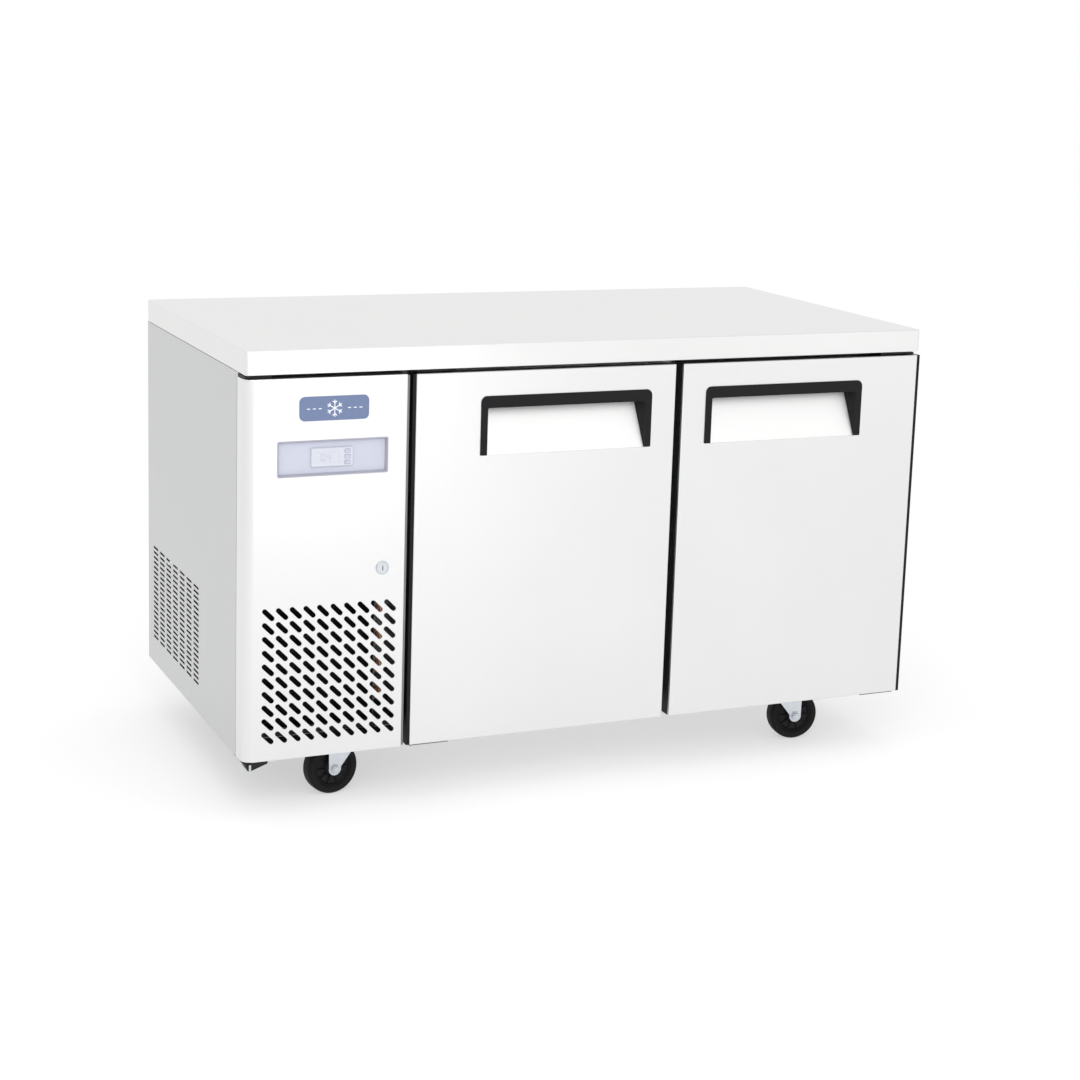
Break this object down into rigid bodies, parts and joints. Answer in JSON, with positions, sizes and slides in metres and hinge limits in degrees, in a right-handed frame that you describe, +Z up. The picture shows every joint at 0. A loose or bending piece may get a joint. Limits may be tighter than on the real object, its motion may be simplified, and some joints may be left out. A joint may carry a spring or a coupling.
{
  "type": "undercounter refrigerator",
  "caption": "Low steel refrigerator with a flat worktop, hinged insulated doors with recessed grips, a slotted machine panel at the left, wire shelves and swivel castors.",
  "frame": {"origin": "on the floor under the centre of the worktop", "axes": "+Z up, +X to the right seen from the front, -Y out of the doors"},
  "size_m": [1.36, 0.7, 0.84],
  "materials": {
    "worktop_steel": "satin",
    "door_steel": "satin",
    "side_steel": "satin",
    "liner_steel": "satin",
    "cover_steel": "satin",
    "rail_steel": "satin",
    "galvanised_steel": "satin",
    "zinc_plate": "satin",
    "black_bracket": "satin",
    "shelf_coating": "gloss",
    "core_board": "matte",
    "foam": "matte",
    "door_core": "satin",
    "gasket": "matte",
    "black_plastic": "satin",
    "bezel_plastic": "satin",
    "control_plastic": "satin",
    "key_plastic": "satin",
    "coil_fins": "satin",
    "motor_case": "satin",
    "fan_blades": "satin",
    "compressor_paint": "gloss",
    "copper": "gloss",
    "tray_plastic": "satin",
    "wheel_rubber": "satin"
  },
  "bodies": {
    "cabinet": {"worktop": "worktop_steel", "worktop_core": "core_board", "left_side_panel": "side_steel", "cabinet_shell": "side_steel", "cabinet_foam": "foam", "cabinet_liner": "liner_steel", "centre_mullion": "liner_steel", "evaporator_cover": "cover_steel", "evaporator_coil": "coil_fins", "evaporator_fan_motor": "motor_case", "shelf_rail_left": "rail_steel", "shelf_rail_right": "rail_steel", "shelf_rail_centre": "rail_steel", "hinge_upper_left": "zinc_plate", "hinge_lower_left": "zinc_plate", "hinge_upper_right": "zinc_plate", "hinge_lower_right": "zinc_plate", "panel_hinge_upper": "black_bracket", "panel_hinge_lower": "black_bracket", "machine_base_pan": "galvanised_steel", "machine_rear_panel": "side_steel", "cord_gland": "black_plastic", "condenser_coil": "coil_fins", "condenser_shroud": "galvanised_steel", "condenser_fan_motor": "motor_case", "compressor": "compressor_paint", "discharge_pipe": "copper", "condensate_tray": "tray_plastic", "electrical_box": "bezel_plastic", "castor_front_left_plate": "zinc_plate", "castor_front_right_plate": "zinc_plate", "castor_rear_left_plate": "zinc_plate", "castor_rear_right_plate": "zinc_plate"},
    "door_left": {"door_left_skin": "door_steel", "door_left_inner_panel": "door_core", "door_left_gasket": "gasket", "door_left_handle": "black_plastic"},
    "door_right": {"door_right_skin": "door_steel", "door_right_inner_panel": "door_core", "door_right_gasket": "gasket", "door_right_handle": "black_plastic"},
    "service_panel": {"service_panel": "door_steel", "control_bezel": "bezel_plastic", "temperature_controller": "control_plastic"},
    "lock": {"lock_barrel": "zinc_plate"},
    "key_1": {"control_key_1": "key_plastic"},
    "key_2": {"control_key_2": "key_plastic"},
    "key_3": {"control_key_3": "key_plastic"},
    "condenser_rotor": {"condenser_fan": "fan_blades"},
    "evaporator_rotor": {"evaporator_fan": "fan_blades"},
    "shelf_left": {"shelf_left": "shelf_coating"},
    "shelf_right": {"shelf_right": "shelf_coating"},
    "castor_front_left_fork": {"castor_front_left_fork": "zinc_plate"},
    "castor_front_left_wheel": {"castor_front_left_wheel": "wheel_rubber"},
    "castor_front_right_fork": {"castor_front_right_fork": "zinc_plate"},
    "castor_front_right_wheel": {"castor_front_right_wheel": "wheel_rubber"},
    "castor_rear_left_fork": {"castor_rear_left_fork": "zinc_plate"},
    "castor_rear_left_wheel": {"castor_rear_left_wheel": "wheel_rubber"},
    "castor_rear_right_fork": {"castor_rear_right_fork": "zinc_plate"},
    "castor_rear_right_wheel": {"castor_rear_right_wheel": "wheel_rubber"}
  },
  "joints": [
    {"name": "door_left_swing", "type": "hinge", "parent": "cabinet", "child": "door_left", "pos_m": [-0.3515, -0.323, 0.446], "axis": [0, 0, -1], "range_deg": [0, 100]},
    {"name": "door_right_swing", "type": "hinge", "parent": "cabinet", "child": "door_right", "pos_m": [0.665, -0.323, 0.446], "axis": [0, 0, 1], "range_deg": [0, 100]},
    {"name": "service_panel_swing", "type": "hinge", "parent": "cabinet", "child": "service_panel", "pos_m": [-0.668, -0.323, 0.446], "axis": [0, 0, -1], "range_deg": [0, 110]},
    {"name": "lock_turn", "type": "hinge", "parent": "service_panel", "child": "lock", "pos_m": [-0.425, -0.345, 0.441], "axis": [0, -1, 0], "range_deg": [0, 90]},
    {"name": "condenser_fan_spin", "type": "hinge", "parent": "cabinet", "child": "condenser_rotor", "pos_m": [-0.53, -0.2, 0.268], "axis": [0, 1, 0], "continuous": true},
    {"name": "evaporator_fan_spin", "type": "hinge", "parent": "cabinet", "child": "evaporator_rotor", "pos_m": [-0.2602, 0.065, 0.6], "axis": [1, 0, 0], "continuous": true},
    {"name": "shelf_left_lift", "type": "slide", "parent": "cabinet", "child": "shelf_left", "axis": [0, 0, 1], "range_m": [0, 0.03]},
    {"name": "shelf_right_lift", "type": "slide", "parent": "cabinet", "child": "shelf_right", "axis": [0, 0, 1], "range_m": [0, 0.03]},
    {"name": "key_1_press", "type": "slide", "parent": "service_panel", "child": "key_1", "axis": [0, 1, 0], "range_m": [0, 0.0008], "stiffness_N_per_m": 400, "springref_m": -0.001},
    {"name": "key_2_press", "type": "slide", "parent": "service_panel", "child": "key_2", "axis": [0, 1, 0], "range_m": [0, 0.0008], "stiffness_N_per_m": 400, "springref_m": -0.001},
    {"name": "key_3_press", "type": "slide", "parent": "service_panel", "child": "key_3", "axis": [0, 1, 0], "range_m": [0, 0.0008], "stiffness_N_per_m": 400, "springref_m": -0.001},
    {"name": "castor_front_left_swivel", "type": "hinge", "parent": "cabinet", "child": "castor_front_left_fork", "pos_m": [-0.457, -0.255, 0.11], "axis": [0, 0, 1], "continuous": true},
    {"name": "castor_front_left_roll", "type": "hinge", "parent": "castor_front_left_fork", "child": "castor_front_left_wheel", "pos_m": [-0.48968, -0.25959, 0.04957], "axis": [0.1392, -0.9903, 0], "continuous": true},
    {"name": "castor_front_right_swivel", "type": "hinge", "parent": "cabinet", "child": "castor_front_right_fork", "pos_m": [0.457, -0.255, 0.11], "axis": [0, 0, 1], "continuous": true},
    {"name": "castor_front_right_roll", "type": "hinge", "parent": "castor_front_right_fork", "child": "castor_front_right_wheel", "pos_m": [0.48968, -0.25959, 0.04957], "axis": [0.1392, 0.9903, 0], "continuous": true},
    {"name": "castor_rear_left_swivel", "type": "hinge", "parent": "cabinet", "child": "castor_rear_left_fork", "pos_m": [-0.457, 0.255, 0.11], "axis": [0, 0, 1], "continuous": true},
    {"name": "castor_rear_left_roll", "type": "hinge", "parent": "castor_rear_left_fork", "child": "castor_rear_left_wheel", "pos_m": [-0.48968, 0.25041, 0.04957], "axis": [0.1392, -0.9903, 0], "continuous": true},
    {"name": "castor_rear_right_swivel", "type": "hinge", "parent": "cabinet", "child": "castor_rear_right_fork", "pos_m": [0.457, 0.255, 0.11], "axis": [0, 0, 1], "continuous": true},
    {"name": "castor_rear_right_roll", "type": "hinge", "parent": "castor_rear_right_fork", "child": "castor_rear_right_wheel", "pos_m": [0.48968, 0.25041, 0.04957], "axis": [0.1392, 0.9903, 0], "continuous": true}
  ]
}
